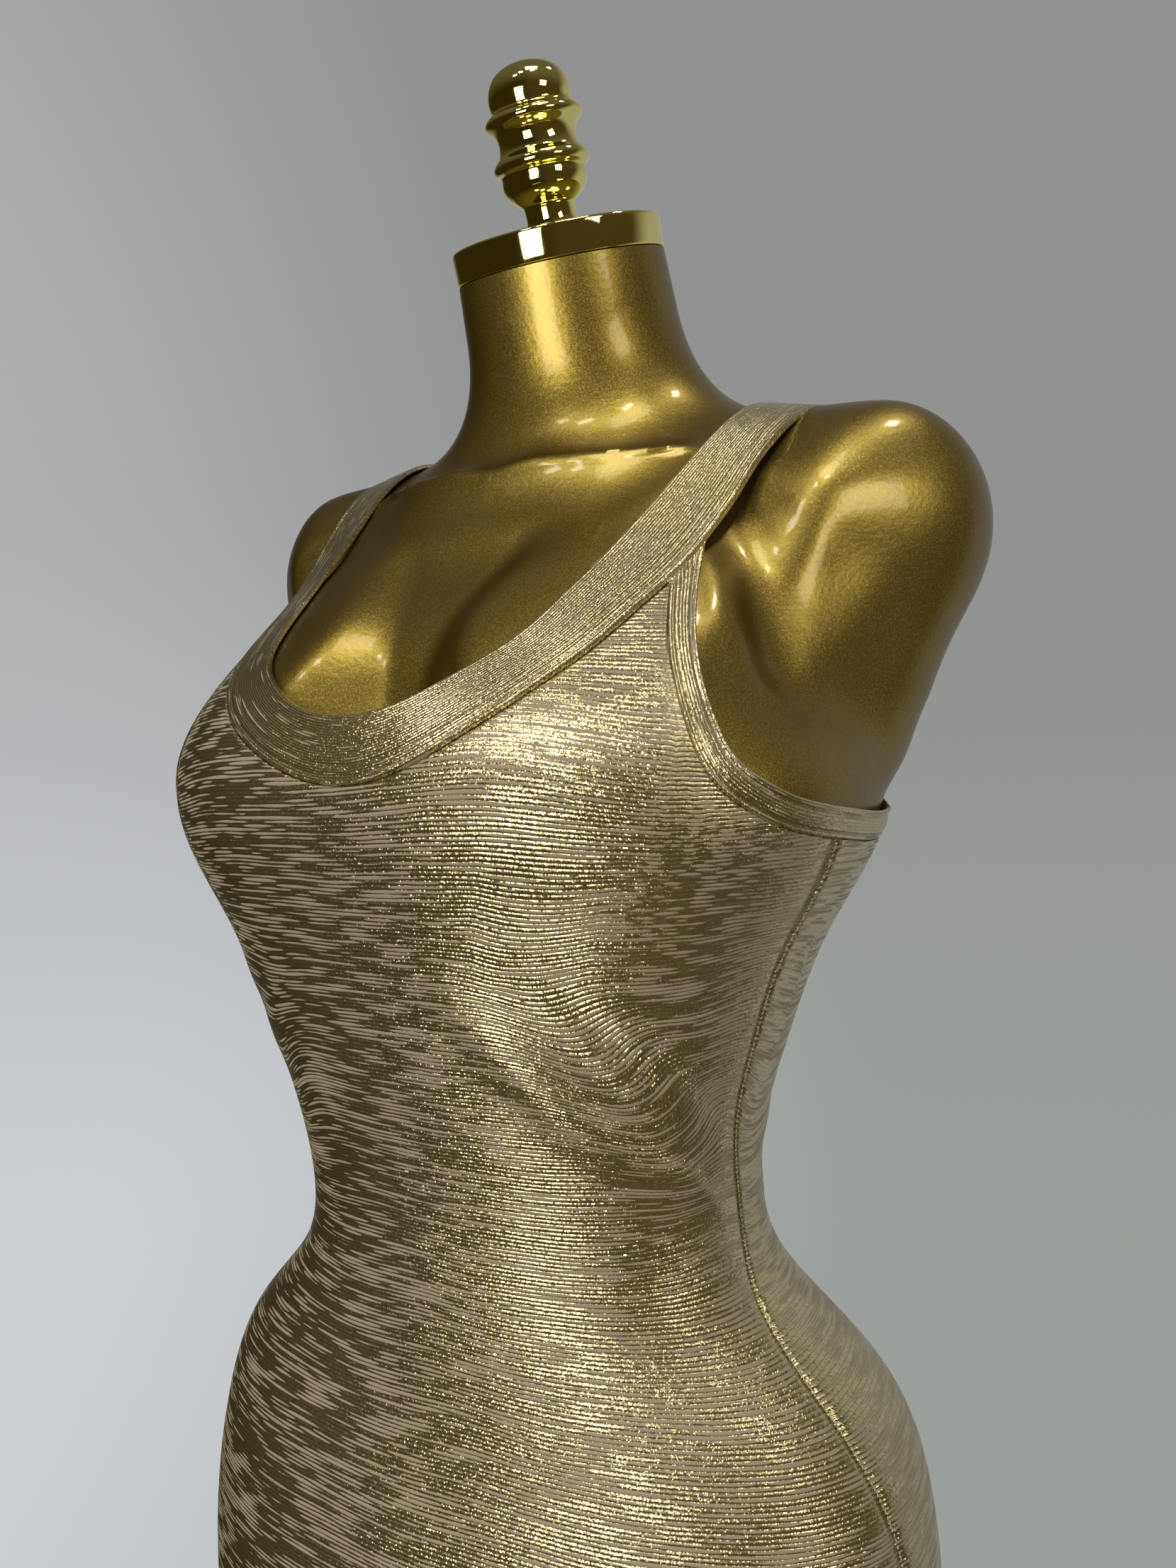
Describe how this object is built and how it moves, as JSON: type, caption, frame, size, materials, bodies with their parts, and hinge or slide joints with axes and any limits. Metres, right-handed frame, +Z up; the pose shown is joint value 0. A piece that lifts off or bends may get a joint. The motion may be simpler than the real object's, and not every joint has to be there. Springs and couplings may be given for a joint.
{
  "type": "bodycon dress on dress form",
  "caption": "Sleeveless scoop-neck bodycon mini dress in foil-print stretch knit, on a limbless dress form with a turned finial, pole and round base.",
  "frame": {"origin": "centre of the round base's underside, on the floor", "axes": "+Z up along the pole, -Y towards the front of the dress, +X towards the dress's own left side"},
  "size_m": [0.4056, 0.36, 1.5868],
  "materials": {
    "foil_knit": "fine knit with broken gold foil strokes",
    "foil_band": "fine knit with broken gold foil strokes along its length",
    "gold_paint": "metallic gold paint under a clear coat",
    "gold_chrome": "polished gold plating",
    "stand_metal": "satin gold plating"
  },
  "bodies": {
    "root": {"front_panel": "foil_knit", "back_panel": "foil_knit", "neck_band": "foil_band", "arm_binding_left": "foil_band", "arm_binding_right": "foil_band", "form": "gold_paint", "neck_cap": "gold_chrome", "finial": "gold_chrome", "base_plate": "stand_metal", "base_hub": "stand_metal", "pole": "stand_metal", "collar": "stand_metal"}
  },
  "joints": []
}
